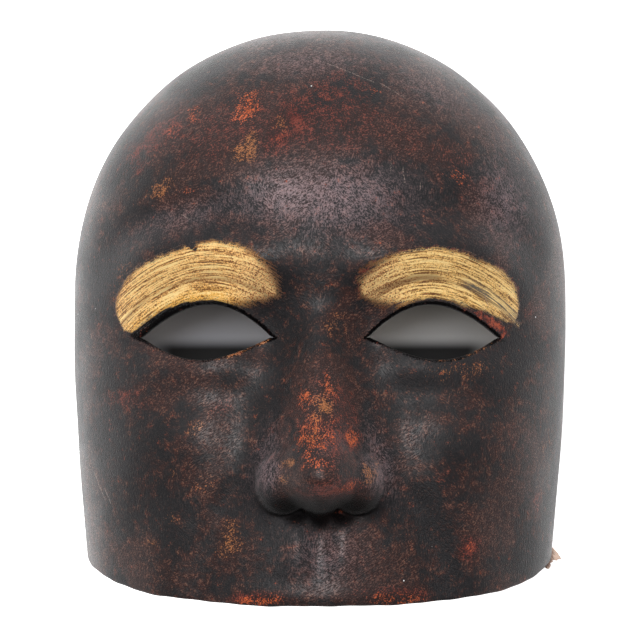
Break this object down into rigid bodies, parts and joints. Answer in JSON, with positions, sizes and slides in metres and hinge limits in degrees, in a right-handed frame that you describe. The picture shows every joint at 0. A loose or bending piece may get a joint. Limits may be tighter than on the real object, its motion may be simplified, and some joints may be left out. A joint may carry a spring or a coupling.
{
  "type": "venetian half mask",
  "caption": "Papier-mâché half mask with a domed forehead, almond eye openings and a cut edge across the upper lip.",
  "frame": {"origin": "middle of the footprint, on the plane that the rim rests on, with the mask lying face up", "axes": "+Z out of the face and up, +Y along the face from the lip to the crown, +X across it to the right as seen in the picture"},
  "size_m": [0.1652, 0.1886, 0.0983],
  "materials": {
    "glazed_paper": "satin"
  },
  "bodies": {
    "root": {"mask_shell": "glazed_paper"}
  },
  "joints": []
}
